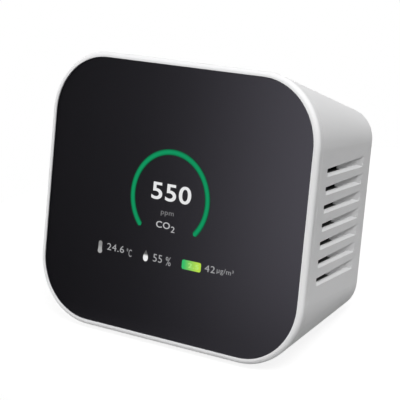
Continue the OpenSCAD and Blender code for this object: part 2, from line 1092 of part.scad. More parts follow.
// Cutter of one vent, x out of the slanted side and y along it to the rear: open to the inside at
// its front, then a ramp that climbs towards the skin and a scoop that meets it; the sill below is
// bevelled and never deeper than the ramp
module vent_slot() {
    length = (slot_end - slot_start) / cos(taper);
    rear_h = slot_h + slot_flare;
    sill_out = [over, -sill_h * (1 + over / sill_deep)];
    intersection() {
        linear_extrude(height = 2 * slot_pitch, center = true)
            polygon([[over, 0], [over, length], [0, length], [-ramp_shallow, length - slot_scoop],
                [ramp_land - wall, slot_open], [-2 * wall, slot_open], [-2 * wall, 0]]);
        union() {
            across(-3 * wall, 2 * over)
                intersection() {
                    translate([length / 2, rear_h / 2])
                        round_rect(length, rear_h, slot_end_r);
                    polygon([[0, 0], [length, 0], [length, rear_h], [0, slot_h]]);
                }
            slab(slot_end_r, length - slot_end_r)
                polygon([[-sill_deep, 0], sill_out, [over, seat], [-sill_deep, seat]]);
        }
    }
}

// Tapered tub: rear wall, vented sides, screw posts, board bosses and battery fences
module rear_housing() {
    slot_low = slot_z - slot_pitch * (slot_count - 1) / 2;
    inner_edge_r = rear_edge_r - wall;
    post_r = [3.7, 4.1];
    io_boss_r = [2.4, 2.6];
    io_pilot_deep = 5;
    fence_x = 21.3;
    fence_z = 4;
    fence = [1, 20];
    fence_deep = 5;
    head_gap = 0.4;
    mouth_w = 9.6;
    mouth_h = 3.9;
    button_gap = 0.15;
    color("white")
    difference() {
        stand()
            difference() {
                union() {
                    difference() {
                        tapered_body(0, part_y + part_gap, depth, 0, rear_edge_r);
                        tapered_body(wall, part_y - over, rear_in, 0, inner_edge_r);
                    }
                    corners(post_x, post_z)
                        pin(0, 0, case_boss_y + seat, rear_in + root, post_r[0], post_r[1]);
                    sides(io_screw_x)
                        pin(0, control_z, io_back + seat, rear_in + root, io_boss_r[0], io_boss_r[1]);
                    translate([0, 0, fence_z])
                        sides(fence_x)
                            slab(rear_in - fence_deep, rear_in + root)
                                square(fence, center = true);
                }
                for (sx = [0, 1], k = [0:slot_count - 1])
                    mirror([sx, 0, 0])
                        translate([corner_x + skin(slot_start, 0), slot_start, slot_low + k * slot_pitch])
                            rotate([slot_climb, 0, taper])
                                vent_slot();
                corners(post_x, post_z) {
                    pin(0, 0, case_boss_y - over, head_seat + over, case_shank[0] + through_gap);
                    pin(0, 0, head_seat, depth + over, case_head[0] + head_gap);
                }
                sides(io_screw_x)
                    pin(0, control_z, io_back - over, io_back + io_pilot_deep, io_shank[0] + pilot_gap);
                translate([socket_x, 0, control_z])
                    slab(rear_in - over, depth + over)
                        stadium(mouth_w, mouth_h);
                pin(button_x, control_z, rear_in - over, depth + over, button_r + button_gap);
            }
        foot_pockets();
    }
}

module case_screws() {
    color("silver")
    stand()
        corners(post_x, post_z)
            screw(0, 0, head_seat + seat, 1, case_head, case_shank);
}

// Rubber pad in its pocket, bevelled round the face it stands on
module foot(side, y) {
    color("dimgray")
    translate([side * foot_x, foot_y(y), 0]) {
        cylinder(h = bevel, r1 = foot_r - bevel, r2 = foot_r);
        translate([0, 0, bevel])
            cylinder(h = foot_h + pocket_t - bevel - seat, r = foot_r);
    }
}

module foot_front_left() {
    foot(-1, foot_front);
}

module foot_front_right() {
    foot(1, foot_front);
}

module foot_rear_left() {
    foot(-1, foot_rear);
}

module foot_rear_right() {
    foot(1, foot_rear);
}

front_frame();
cover_glass();
glass_tape();
display_panel();
backlight_tray();
display_cable();
chassis();
chassis_screws();
main_board();
board_screws();
processor_chip();
radio_module();
buzzer();
display_connector();
io_connector();
sensor_connector();
co2_sensor_board();
co2_sensor_cell();
co2_filter();
sensor_standoffs();
sensor_screws();
sensor_cable();
particle_sensor_base();
particle_sensor_lid();
particle_sensor_board();
laser_module();
fan_motor();
fan_rotor();
climate_sensor_board();
climate_sensor_chip();
io_board();
io_screws();
io_cable();
charging_socket();
socket_tongue();
switch_body();
switch_plunger();
power_button();
battery();
battery_pad();
battery_connector();
battery_leads();
rear_housing();
case_screws();
foot_front_left();
foot_front_right();
foot_rear_left();
foot_rear_right();
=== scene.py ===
import json
import math

import bmesh
import bpy
import numpy as np
from mathutils import Matrix, Vector


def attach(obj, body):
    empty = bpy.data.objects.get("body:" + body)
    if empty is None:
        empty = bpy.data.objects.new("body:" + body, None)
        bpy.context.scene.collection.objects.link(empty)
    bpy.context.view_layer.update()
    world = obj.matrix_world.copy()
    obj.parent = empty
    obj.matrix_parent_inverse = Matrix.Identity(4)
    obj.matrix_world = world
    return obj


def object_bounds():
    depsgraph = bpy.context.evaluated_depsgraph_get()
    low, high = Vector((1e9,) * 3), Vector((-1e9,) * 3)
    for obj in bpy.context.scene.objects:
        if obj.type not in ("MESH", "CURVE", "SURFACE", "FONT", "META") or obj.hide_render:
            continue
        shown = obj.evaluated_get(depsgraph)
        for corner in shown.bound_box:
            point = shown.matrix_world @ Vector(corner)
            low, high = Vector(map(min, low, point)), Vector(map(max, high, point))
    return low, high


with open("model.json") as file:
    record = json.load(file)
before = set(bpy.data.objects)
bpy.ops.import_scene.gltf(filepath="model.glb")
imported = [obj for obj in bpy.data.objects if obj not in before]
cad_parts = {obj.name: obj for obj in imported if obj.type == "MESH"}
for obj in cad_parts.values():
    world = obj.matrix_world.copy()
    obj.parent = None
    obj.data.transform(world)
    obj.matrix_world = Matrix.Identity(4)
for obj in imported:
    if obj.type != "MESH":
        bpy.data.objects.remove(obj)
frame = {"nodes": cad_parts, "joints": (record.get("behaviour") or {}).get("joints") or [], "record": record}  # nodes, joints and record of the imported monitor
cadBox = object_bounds()
nodes = frame["nodes"]
scene = bpy.context.scene
scene.view_settings.view_transform = "Standard"
mm = 0.001
mergeDistance = 1e-7  # metres; points nearer than this become one
print("frame loaded:", len(nodes), "nodes")


# the face: x runs to the right, z up along the leaning glass, out is the way the glass looks

def meshPoints(mesh):
    points = np.empty(3 * len(mesh.vertices), np.float32)
    mesh.vertices.foreach_get("co", points)
    return points.reshape(-1, 3).astype(float)


def sheetOn(name, right, up, out):
    # a flat place on a node: its directions, and the middle of the node carried to its outermost plane
    points = meshPoints(nodes[name].data)
    middle = sum(way * ((points @ way).min() + (points @ way).max()) / 2 for way in (right, up))
    return {"middle": middle + out * (points @ out).max(), "right": right, "up": up, "out": out}


def onSheet(sheet, x, z, out):
    # arrays of millimetres on a sheet, from its middle, to points in metres
    away = np.multiply.outer(x, sheet["right"]) + np.multiply.outer(z, sheet["up"])
    return sheet["middle"] + mm * (away + np.multiply.outer(out, sheet["out"]))


fanAxis = next(joint for joint in frame["joints"] if joint["name"] == "fan_spin")["axis"]
faceOut = -np.array(fanAxis, float) / np.linalg.norm(fanAxis)  # the fan turns square to the face
faceRight = np.array((1.0, 0.0, 0.0))
faceUp = np.cross(faceOut, faceRight)
lean = math.asin(faceOut[2])  # the face leans back by the taper of the sides
face = sheetOn("cover_glass", faceRight, faceUp, faceOut)


# camera at the photograph's angle

viewpoint = {
    "aimX": 9.299,  # mm on the glass, where the middle of the picture looks
    "aimZ": 2.444,
    "distance": 394.305,  # mm from there
    "azimuth": 36.214,
    "elevation": 17.917,
    "roll": -2.089,
    "lens": 135.217,
    "sensor": 36.0,
    "clipStart": 0.01,  # metres
}


def wayTo(azimuth, elevation):
    # direction towards an azimuth, counted from the front to the right, and an elevation
    azimuth, elevation = math.radians(azimuth), math.radians(elevation)
    level = math.cos(elevation)
    return Vector((math.sin(azimuth) * level, -math.cos(azimuth) * level, math.sin(elevation)))


def makeCamera(look):
    azimuth, roll = math.radians(look["azimuth"]), math.radians(look["roll"])
    back = wayTo(look["azimuth"], look["elevation"])
    levelRight = Vector((math.cos(azimuth), math.sin(azimuth), 0))
    levelUp = back.cross(levelRight)
    right = math.cos(roll) * levelRight + math.sin(roll) * levelUp
    up = math.cos(roll) * levelUp - math.sin(roll) * levelRight
    aim = Vector(onSheet(face, look["aimX"], look["aimZ"], 0.0))
    place = aim + back * look["distance"] * mm
    data = bpy.data.cameras.new("camera")
    data.lens = look["lens"]
    data.sensor_width = look["sensor"]
    data.clip_start = look["clipStart"]
    camera = bpy.data.objects.new("camera", data)
    camera.matrix_world = Matrix((
        (right.x, up.x, back.x, place.x),
        (right.y, up.y, back.y, place.y),
        (right.z, up.z, back.z, place.z),
        (0, 0, 0, 1),
    ))
    scene.collection.objects.link(camera)
    scene.camera = camera


makeCamera(viewpoint)
print("camera placed")


# shader nodes and meshes, made in the same few ways throughout

def add(tree, kind, inputs, **settings):
    # one node with its settings; an input takes a value or the output of another node
    made = tree.nodes.new("ShaderNode" + kind)
    for setting, value in settings.items():
        setattr(made, setting, value)
    for label, value in inputs.items():
        if isinstance(value, bpy.types.NodeSocket):
            tree.links.new(value, made.inputs[label])
        else:
            made.inputs[label].default_value = value
    return made


def figure(tree, operation, *values):
    return add(tree, "Math", dict(enumerate(values)), operation=operation).outputs["Value"]


def mixed(tree, share, first, second):
    # colours in the sockets that a colour mix shows
    return add(tree, "Mix", {0: share, 6: first, 7: second}, data_type="RGBA").outputs[2]


def ranged(tree, value, low, high):
    return add(tree, "MapRange", {"Value": value, "To Min": low, "To Max": high}).outputs["Result"]


def objectPlace(tree):
    return tree.nodes.new("ShaderNodeTexCoord").outputs["Object"]


def startFinish(name):
    material = bpy.data.materials.new(name)
    material.use_nodes = True
    tree = material.node_tree
    return material, tree, tree.nodes["Principled BSDF"]


def gridObject(name, points, closedAcross=False, capped=False):
    # a grid of points, rows by columns, to a mesh object: four corners to a face, doubles merged
    rows, columns = points.shape[:2]
    spans = columns if closedAcross else columns - 1
    row, column = np.meshgrid(np.arange(rows - 1), np.arange(spans), indexing="ij")
    following = (column + 1) % columns
    corners = (row * columns + column, row * columns + following,
               (row + 1) * columns + following, (row + 1) * columns + column)
    faces = np.stack(corners, axis=-1).reshape(-1, 4).tolist()
    if capped:
        faces += [list(range(columns)), list(range((rows - 1) * columns, rows * columns))]
    mesh = bpy.data.meshes.new(name)
    mesh.from_pydata(points.reshape(-1, 3).tolist(), [], faces)
    work = bmesh.new()
    work.from_mesh(mesh)
    bmesh.ops.remove_doubles(work, verts=work.verts, dist=mergeDistance)
    bmesh.ops.dissolve_degenerate(work, edges=work.edges, dist=mergeDistance)
    bmesh.ops.recalc_face_normals(work, faces=work.faces)
    work.to_mesh(mesh)
    work.free()
    mesh.update()
    made = bpy.data.objects.new(name, mesh)
    scene.collection.objects.link(made)
    return made


# studio: soft boxes, a white backdrop and a small round floor

studio = {
    "boxDistance": 0.8,  # metres from the middle of the object to each soft box
    "skyLow": 0.0,  # light from the room at the level of the horizon
    "skyHigh": 0.4,  # and from straight above
    "frontDim": 0.01,  # what glossy surfaces see of the dim room in front
    "roomTurn": (-0.5, 0.3),  # where the room turns from dim to white, towards the rear
    "floorRadius": 0.125,
    "floorBehind": 0.05,  # how far the floor's middle lies behind the object
    "floorRings": 9,
    "floorSpokes": 96,
    "floorRoughness": 0.9,
    "floorColour": (0.46, 0.46, 0.46, 1),
    "floorSeen": (0.22, 0.22, 0.22, 1),  # the colour that the camera and glossy surfaces see
    "floorGlow": 0.86,  # added for the camera, which sees the floor nearly white
}
softBoxes = {  # degrees, metres and watts
    "stripBox": {"azimuth": -22, "elevation": 20, "width": 0.24, "height": 0.70, "power": 0.9},
    "leftBox": {"azimuth": -78, "elevation": 0, "width": 0.30, "height": 0.30, "power": 3.0},
    "sideBox": {"azimuth": 50, "elevation": 52, "width": 0.40, "height": 0.40, "power": 5.6},
    "fillBox": {"azimuth": 225, "elevation": 2, "width": 0.60, "height": 0.30, "power": 1.0},
}


def addSoftBox(name, look, distance):
    data = bpy.data.lights.new(name, "AREA")
    data.shape = "RECTANGLE"
    data.size = look["width"]
    data.size_y = look["height"]
    data.energy = look["power"]
    box = bpy.data.objects.new(name, data)
    box.visible_camera = False
    target = Vector((cadBox[0] + cadBox[1]) / 2)
    place = target + distance * wayTo(look["azimuth"], look["elevation"])
    turn = (target - place).to_track_quat("-Z", "Y")
    box.matrix_world = Matrix.Translation(place) @ turn.to_matrix().to_4x4()
    scene.collection.objects.link(box)


def makeBackdrop(look):
    # the camera sees plain white; shiny surfaces see white behind the object and a dim room in front;
    # what lights the object grows from the horizon to straight above
    world = bpy.data.worlds.new("studio")
    world.use_nodes = True
    scene.world = world
    tree = world.node_tree
    background = tree.nodes["Background"]
    background.inputs["Color"].default_value = (1, 1, 1, 1)
    path = tree.nodes.new("ShaderNodeLightPath")
    around = tree.nodes.new("ShaderNodeTexCoord").outputs["Generated"]
    way = add(tree, "SeparateXYZ", {"Vector": around})
    dim, white = look["roomTurn"]
    turn = {"Value": way.outputs["Y"], "From Min": dim, "From Max": white, "To Min": look["frontDim"]}
    room = add(tree, "MapRange", turn, interpolation_type="SMOOTHSTEP").outputs["Result"]
    sky = ranged(tree, way.outputs["Z"], look["skyLow"], look["skyHigh"])
    shiny = figure(tree, "MAXIMUM", path.outputs["Is Glossy Ray"], path.outputs["Is Transmission Ray"])
    lit = add(tree, "Mix", {"Factor": shiny, "A": sky, "B": room}).outputs["Result"]
    seen = add(tree, "Mix", {"Factor": path.outputs["Is Camera Ray"], "A": lit, "B": 1.0})
    tree.links.new(seen.outputs["Result"], background.inputs["Strength"])


def makeFloor(look):
    # rings of a disc: radius grows along one direction of the grid, the angle along the other
    radii = np.linspace(0.0, look["floorRadius"], look["floorRings"])
    angles = np.linspace(0.0, 2 * math.pi, look["floorSpokes"], endpoint=False)
    points = np.stack((np.multiply.outer(radii, np.cos(angles)),
                       look["floorBehind"] + np.multiply.outer(radii, np.sin(angles)),
                       np.zeros((len(radii), len(angles)))), axis=-1)
    floor = gridObject("floor", points, closedAcross=True)
    material, tree, bsdf = startFinish("paleFloor")
    bsdf.inputs["Roughness"].default_value = look["floorRoughness"]
    bsdf.inputs["Specular IOR Level"].default_value = 0.0
    bsdf.inputs["Emission Color"].default_value = (1, 1, 1, 1)
    path = tree.nodes.new("ShaderNodeLightPath")
    seen = figure(tree, "MAXIMUM", path.outputs["Is Camera Ray"], path.outputs["Is Glossy Ray"])
    tone = mixed(tree, seen, look["floorColour"], look["floorSeen"])
    tree.links.new(tone, bsdf.inputs["Base Color"])
    glow = figure(tree, "MULTIPLY", path.outputs["Is Camera Ray"], look["floorGlow"])
    tree.links.new(glow, bsdf.inputs["Emission Strength"])
    floor.data.materials.append(material)


for boxName, boxLook in softBoxes.items():
    addSoftBox(boxName, boxLook, studio["boxDistance"])
makeBackdrop(studio)
makeFloor(studio)
print("studio lit")


# finishes: shared effects first

def makeGroup(name, inputs, outputs):
    group = bpy.data.node_groups.new(name, "ShaderNodeTree")
    sockets = group.interface
    sockets.new_socket("Vector", in_out="INPUT", socket_type="NodeSocketVector")
    for label, value in inputs.items():
        socket = sockets.new_socket(label, in_out="INPUT", socket_type="NodeSocketFloat")
        socket.default_value = value
    for label in outputs:
        sockets.new_socket(label, in_out="OUTPUT", socket_type="NodeSocketFloat")
    entry = group.nodes.new("NodeGroupInput").outputs
    leave = group.nodes.new("NodeGroupOutput").inputs
    return group, entry, leave


def useGroup(tree, group, inputs=None):
    values = {"Vector": objectPlace(tree), **(inputs or {})}
    return add(tree, "Group", values, node_tree=group).outputs


def facePlace(group, vector):
    # Object coordinates to mm on the face: x right, y into the body, z up, from the glass's middle
    turn = Matrix.Rotation(lean, 3, "X")
    shift = -(turn @ Vector(face["middle"])) / mm
    return add(group, "Mapping", {"Vector": vector, "Scale": (1 / mm,) * 3,
                                  "Rotation": (lean, 0, 0), "Location": shift}).outputs["Vector"]


mould = {"grainDetail": 2.0, "mottleDetail": 4.0}


def mouldGrainGroup(look):
    # a fine even grain, as a spark-eroded mould leaves it, and a broad faint mottle
    scales = {"Grain Scale": 4000.0, "Mottle Scale": 60.0}
    group, entry, leave = makeGroup("mouldGrain", scales, ("Grain", "Mottle"))
    for result, detail in (("Grain", look["grainDetail"]), ("Mottle", look["mottleDetail"])):
        noise = add(group, "TexNoise", {"Vector": entry["Vector"], "Scale": entry[result + " Scale"],
                                        "Detail": detail})
        group.links.new(noise.outputs["Fac"], leave[result])
    return group


brush = {"alongScale": 0.04, "detail": 3.0}


def brushedLinesGroup(look):
    # noise drawn out along x, as a brush or a rolling mill leaves it
    group, entry, leave = makeGroup("brushedLines", {"Line Scale": 3000.0}, ("Line",))
    drawn = add(group, "Mapping", {"Vector": entry["Vector"], "Scale": (look["alongScale"], 1.0, 1.0)})
    noise = add(group, "TexNoise", {"Vector": drawn.outputs["Vector"], "Scale": entry["Line Scale"],
                                    "Detail": look["detail"]})
    group.links.new(noise.outputs["Fac"], leave["Line"])
    return group


board = {
    "regionScale": 0.09,  # of the slow noise, per mm
    "regionDetail": 1.0,
    "upAbove": 0.53,  # tracks run up the board where the slow noise is above this
    "alongBelow": 0.46,  # and along it where the noise is below this
    "trackShare": 0.45,  # of the pitch
    "padRadius": 0.2,  # of the pads' pitch
    "padAbove": 0.72,  # a place of the grid has a pad where its own number is above this
}


def boardTracksGroup(look):
    # bundles of tracks along or up the board, chosen by a slow noise, and round pads on a square grid
    pitches = {"Pitch": 0.8, "Pad Pitch": 2.54}
    group, entry, leave = makeGroup("boardTracks", pitches, ("Track", "Pad"))
    place = facePlace(group, entry["Vector"])
    across = add(group, "SeparateXYZ", {"Vector": place})
    region = add(group, "TexNoise", {"Vector": place, "Scale": look["regionScale"],
                                     "Detail": look["regionDetail"]}).outputs["Fac"]
    bundles = []
    for way in ("X", "Z"):
        step = figure(group, "FRACT", figure(group, "DIVIDE", across.outputs[way], entry["Pitch"]))
        bundles.append(figure(group, "LESS_THAN", step, look["trackShare"]))
    upright = figure(group, "GREATER_THAN", region, look["upAbove"])
    level = figure(group, "LESS_THAN", region, look["alongBelow"])
    track = figure(group, "MAXIMUM", figure(group, "MULTIPLY", bundles[0], upright),
                   figure(group, "MULTIPLY", bundles[1], level))
    grid = figure(group, "DIVIDE", 1.0, entry["Pad Pitch"])
    cells = add(group, "TexVoronoi", {"Vector": place, "Scale": grid, "Randomness": 0.0})
    drawn = add(group, "SeparateColor", {"Color": cells.outputs["Color"]}).outputs["Red"]
    disc = figure(group, "LESS_THAN", cells.outputs["Distance"], look["padRadius"])
    pad = figure(group, "MULTIPLY", disc, figure(group, "GREATER_THAN", drawn, look["padAbove"]))
    group.links.new(track, leave["Track"])
    group.links.new(pad, leave["Pad"])
    return group


tub = {  # mm
    "cornerX": 25.5,  # the corner axes
    "cornerZ": 20.0,
    "beyond": 1000.0,  # more than any depth, so that depth takes no part in the reach from the axes
    "coatDeep": 2.05,  # where the inside begins, under the skin
    "slotShadeDeep": 0.9,  # painted shade: the open part of the slots is dark deeper than this under the skin
    "slotShadeFrom": 8.0,  # the open part, behind the glass
    "slotShadeTo": 21.4,
}


def innerCoatAndSlotShadeGroup(look):
    # 1 on the inside of the tub: how deep a point lies under the tapered skin with its round corners,
    # or before the rear wall, against the thickness of the wall; and painted shade: 1 in the open part
    # of the slots, past a shallower depth
    group, entry, leave = makeGroup("innerCoatAndSlotShade", {}, ("Coat",))
    away = (meshPoints(nodes["rear_housing"].data) - face["middle"]) / mm
    deep = -away @ faceOut
    skin = (np.abs(away @ faceRight) + deep * math.tan(lean)).max() - look["cornerX"]
    axes = (look["cornerX"], look["beyond"], look["cornerZ"])
    place = facePlace(group, entry["Vector"])
    past = add(group, "VectorMath", {0: place}, operation="ABSOLUTE").outputs["Vector"]
    past = add(group, "VectorMath", {0: past, 1: axes}, operation="SUBTRACT").outputs["Vector"]
    past = add(group, "VectorMath", {0: past, 1: (0, 0, 0)}, operation="MAXIMUM").outputs["Vector"]
    reach = add(group, "VectorMath", {0: past}, operation="LENGTH").outputs["Value"]
    depth = add(group, "SeparateXYZ", {"Vector": place}).outputs["Y"]
    tapered = figure(group, "MULTIPLY_ADD", depth, -math.tan(lean), skin)
    under = figure(group, "MULTIPLY", figure(group, "SUBTRACT", tapered, reach), math.cos(lean))
    before = figure(group, "SUBTRACT", deep.max(), depth)
    nearest = figure(group, "MINIMUM", under, before)
    inside = figure(group, "GREATER_THAN", nearest, look["coatDeep"])
    # painted shade: past a shallow depth, the open part of each slot is darkened where it would lie in
    # shade
    paintedSlotShade = figure(group, "GREATER_THAN", under, look["slotShadeDeep"])
    for edge, operation in (("slotShadeFrom", "GREATER_THAN"), ("slotShadeTo", "LESS_THAN")):
        paintedSlotShade = figure(group, "MULTIPLY", paintedSlotShade, figure(group, operation, depth, look[edge]))
    group.links.new(figure(group, "MAXIMUM", inside, paintedSlotShade), leave["Coat"])
    return group


def pixelRowsGroup():
    # rows of picture elements: a sine up the face, from 0 to 1
    group, entry, leave = makeGroup("pixelRows", {"Row Pitch": 0.16}, ("Row",))
    up = add(group, "SeparateXYZ", {"Vector": facePlace(group, entry["Vector"])}).outputs["Z"]
    turns = figure(group, "DIVIDE", up, entry["Row Pitch"])
    wave = figure(group, "SINE", figure(group, "MULTIPLY", turns, 2 * math.pi))
    group.links.new(figure(group, "MULTIPLY_ADD", wave, 0.5, 0.5), leave["Row"])
    return group


mouldGrain = mouldGrainGroup(mould)
brushedLines = brushedLinesGroup(brush)
boardTracks = boardTracksGroup(board)
innerCoatAndSlotShade = innerCoatAndSlotShadeGroup(tub)
pixelRows = pixelRowsGroup()


def roughen(tree, bsdf, height, look):
    bump = add(tree, "Bump", {"Strength": look["bump"], "Distance": look["bumpDepth"] * mm,
                              "Height": height})
    tree.links.new(bump.outputs["Normal"], bsdf.inputs["Normal"])


def mouldFinish(name, look):
    material, tree, bsdf = startFinish(name)
    scales = {"Mottle Scale": look["mottleScale"]}
    if "bump" in look:
        scales["Grain Scale"] = look["grainScale"]
    grain = useGroup(tree, mouldGrain, scales)
    tone = mixed(tree, grain["Mottle"], (*look["colour"], 1), (*look["mottled"], 1))
    # the dark inner coat, which also paints shade into the open part of the slots
    if "coatAndSlotShade" in look:
        tone = mixed(tree, useGroup(tree, innerCoatAndSlotShade)["Coat"], tone, (*look["coatAndSlotShade"], 1))
    tree.links.new(tone, bsdf.inputs["Base Color"])
    tree.links.new(ranged(tree, grain["Mottle"], *look["roughness"]), bsdf.inputs["Roughness"])
    if "bump" in look:
        roughen(tree, bsdf, grain["Grain"], look)
    for socket, value in look.get("sockets", {}).items():
        bsdf.inputs[socket].default_value = value
    return material


def brushedFinish(name, look):
    material, tree, bsdf = startFinish(name)
    line = useGroup(tree, brushedLines, {"Line Scale": look["lineScale"]})["Line"]
    tone = mixed(tree, line, (*look["colour"], 1), (*look["mottled"], 1))
    tree.links.new(tone, bsdf.inputs["Base Color"])
    tree.links.new(ranged(tree, line, *look["roughness"]), bsdf.inputs["Roughness"])
    roughen(tree, bsdf, line, look)
    bsdf.inputs["Metallic"].default_value = 1.0
    return material


def boardFinish(name, look):
    material, tree, bsdf = startFinish(name)
    pitches = {"Pitch": look["pitch"], "Pad Pitch": look["padPitch"]}
    tracks = useGroup(tree, boardTracks, pitches)
    tone = mixed(tree, tracks["Track"], (*look["colour"], 1), (*look["track"], 1))
    tree.links.new(mixed(tree, tracks["Pad"], tone, (*look["pad"], 1)), bsdf.inputs["Base Color"])
    tree.links.new(tracks["Pad"], bsdf.inputs["Metallic"])
    tree.links.new(ranged(tree, tracks["Track"], *look["roughness"]), bsdf.inputs["Roughness"])
    roughen(tree, bsdf, figure(tree, "MAXIMUM", tracks["Track"], tracks["Pad"]), look)
    return material


looks = {  # scales per metre; pitches and depths in mm
    "white_shell": {
        "finish": mouldFinish, "colour": (0.87, 0.87, 0.875), "mottled": (0.84, 0.84, 0.845),
        # dark colour of the inner coat, also used as painted shade in the open part of the slots
        "coatAndSlotShade": (0.05, 0.05, 0.05), "roughness": (0.60, 0.70), "mottleScale": 45,
        "grainScale": 3500, "bump": 0.25, "bumpDepth": 0.05,
        "sockets": {"Specular IOR Level": 0.2}},
    "black_glass": {
        "finish": mouldFinish, "colour": (0.0006, 0.0006, 0.0008), "mottled": (0.001, 0.001, 0.0013),
        "roughness": (0.23, 0.25), "mottleScale": 30,
        "sockets": {"Specular Tint": (0.87, 0.83, 1.0, 1), "Specular IOR Level": 0.8}},
    "foam": {
        "finish": mouldFinish, "colour": (0.03, 0.03, 0.03), "mottled": (0.05, 0.05, 0.05),
        "roughness": (0.85, 0.95), "mottleScale": 300,
        "grainScale": 3000, "bump": 0.5, "bumpDepth": 0.1},
    "display_glass": {
        "finish": mouldFinish, "colour": (0.02, 0.02, 0.025), "mottled": (0.03, 0.03, 0.035),
        "roughness": (0.15, 0.25), "mottleScale": 80,
        "grainScale": 6000, "bump": 0.05, "bumpDepth": 0.02},
    "bright_steel": {
        "finish": brushedFinish, "colour": (0.62, 0.62, 0.63), "mottled": (0.50, 0.50, 0.52),
        "roughness": (0.22, 0.38),
        "lineScale": 4000, "bump": 0.15, "bumpDepth": 0.01},
    "amber_film": {
        "finish": mouldFinish, "colour": (0.55, 0.25, 0.05), "mottled": (0.48, 0.20, 0.04),
        "roughness": (0.3, 0.4), "mottleScale": 150,
        "grainScale": 4000, "bump": 0.05, "bumpDepth": 0.02},
    "grey_plastic": {
        "finish": mouldFinish, "colour": (0.42, 0.42, 0.43), "mottled": (0.38, 0.38, 0.39),
        "roughness": (0.5, 0.6), "mottleScale": 90,
        "grainScale": 3500, "bump": 0.25, "bumpDepth": 0.05},
    "green_board": {
        "finish": boardFinish, "colour": (0.015, 0.13, 0.055), "track": (0.03, 0.22, 0.09),
        "pad": (0.75, 0.60, 0.32), "roughness": (0.35, 0.45),
        "pitch": 0.8, "padPitch": 2.54, "bump": 0.3, "bumpDepth": 0.04},
    "black_plastic": {
        "finish": mouldFinish, "colour": (0.025, 0.025, 0.027), "mottled": (0.04, 0.04, 0.042),
        "roughness": (0.45, 0.6), "mottleScale": 120,
        "grainScale": 4000, "bump": 0.3, "bumpDepth": 0.05},
    "ivory_plastic": {
        "finish": mouldFinish, "colour": (0.75, 0.70, 0.58), "mottled": (0.70, 0.65, 0.52),
        "roughness": (0.45, 0.55), "mottleScale": 150,
        "grainScale": 4000, "bump": 0.2, "bumpDepth": 0.04},
    "white_film": {
        "finish": mouldFinish, "colour": (0.80, 0.80, 0.78), "mottled": (0.74, 0.74, 0.72),
        "roughness": (0.7, 0.85), "mottleScale": 260,
        "grainScale": 5000, "bump": 0.3, "bumpDepth": 0.04},
    "brass": {
        "finish": brushedFinish, "colour": (0.70, 0.52, 0.22), "mottled": (0.58, 0.41, 0.16),
        "roughness": (0.25, 0.42),
        "lineScale": 4000, "bump": 0.15, "bumpDepth": 0.01},
    "battery_foil": {
        "finish": mouldFinish, "colour": (0.50, 0.51, 0.53), "mottled": (0.42, 0.43, 0.45),
        "roughness": (0.35, 0.5), "mottleScale": 120,
        "grainScale": 1500, "bump": 0.2, "bumpDepth": 0.06,
        "sockets": {"Metallic": 0.6}},
    "red_insulation": {
        "finish": mouldFinish, "colour": (0.50, 0.03, 0.02), "mottled": (0.42, 0.02, 0.02),
        "roughness": (0.4, 0.5), "mottleScale": 200,
        "grainScale": 4000, "bump": 0.1, "bumpDepth": 0.03},
    "black_rubber": {
        "finish": mouldFinish, "colour": (0.035, 0.035, 0.036), "mottled": (0.055, 0.055, 0.056),
        "roughness": (0.75, 0.9), "mottleScale": 160,
        "grainScale": 3000, "bump": 0.4, "bumpDepth": 0.06},
}
finishes = {slotName: slotLook["finish"](slotName, slotLook) for slotName, slotLook in looks.items()}
for subpart in frame["record"]["subparts"]:
    held = nodes[subpart["node"]].data.materials
    held.clear()
    held.append(finishes[subpart["material_slot"]])
print("finishes set")


# thin signs: bands and letters laid on a flat place

inlay = {
    "lift": 0.01,  # mm off the surface
    "thickness": 0.04,  # mm
    "topPoints": 6,  # across the upper face of a band
    "extrude": 0.5,  # of the raw letters, stretched to the thickness later
    "spacing": 1.08,  # from letter to letter
}


def seatSign(sign, material, body):
    sign.data.materials.append(material)
    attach(sign, body)
    return sign


def plate(name, sheet, x, z, acrossX, acrossZ, material, body="body"):
    # each row goes once round a thin rectangle across the sign, and the rows follow its middle line
    side = np.concatenate(((-1.0, 1.0), np.linspace(1.0, -1.0, inlay["topPoints"])))
    above = np.concatenate(((0.0, 0.0), np.ones(inlay["topPoints"])))
    height = np.broadcast_to(inlay["lift"] + inlay["thickness"] * above, (len(x), len(side)))
    points = onSheet(sheet, x[:, None] + acrossX[:, None] * side,
                     z[:, None] + acrossZ[:, None] * side, height)
    made = gridObject(name, points, closedAcross=True, capped=True)
    return seatSign(made, material, body)


def arcSign(name, sheet, look, material, body="body"):
    # a band along a circle whose half width follows a half circle at each end
    half, radius = look["line"] / 2, look["radius"]
    start, end, overrun = math.radians(look["from"]), math.radians(look["to"]), half / radius
    turn = np.linspace(start + overrun, end - overrun, look["steps"])
    past = np.maximum(np.maximum(turn - start, end - turn) * radius, 0.0)
    width = np.sqrt(np.maximum(half ** 2 - past ** 2, 0.0))
    x = look["x"] + radius * np.cos(turn)
    z = look["z"] + radius * np.sin(turn)
    return plate(name, sheet, x, z, width * np.cos(turn), width * np.sin(turn), material, body)


def writing(name, words, span, weight, material, lift=inlay["lift"]):
    # letters as a mesh, stretched to the span (x from, x to, z from, z to) in mm on the glass
    curve = bpy.data.curves.new(name, "FONT")
    curve.body = words
    curve.offset = weight
    curve.extrude = inlay["extrude"]
    curve.space_character = inlay["spacing"]
    holder = bpy.data.objects.new(name + "Outline", curve)
    scene.collection.objects.link(holder)
    depsgraph = bpy.context.evaluated_depsgraph_get()
    mesh = bpy.data.meshes.new_from_object(holder.evaluated_get(depsgraph))
    bpy.data.objects.remove(holder)
    flat = meshPoints(mesh)
    share = (flat - flat.min(0)) / (flat.max(0) - flat.min(0))
    left, right, low, high = span
    points = onSheet(face, left + share[:, 0] * (right - left), low + share[:, 1] * (high - low),
                     lift + share[:, 2] * inlay["thickness"])
    mesh.vertices.foreach_set("co", points.astype(np.float32).ravel())
    mesh.name = name
    mesh.update()
    sign = bpy.data.objects.new(name, mesh)
    scene.collection.objects.link(sign)
    seatSign(sign, material, "body")


# the readout: lit signs on the glass

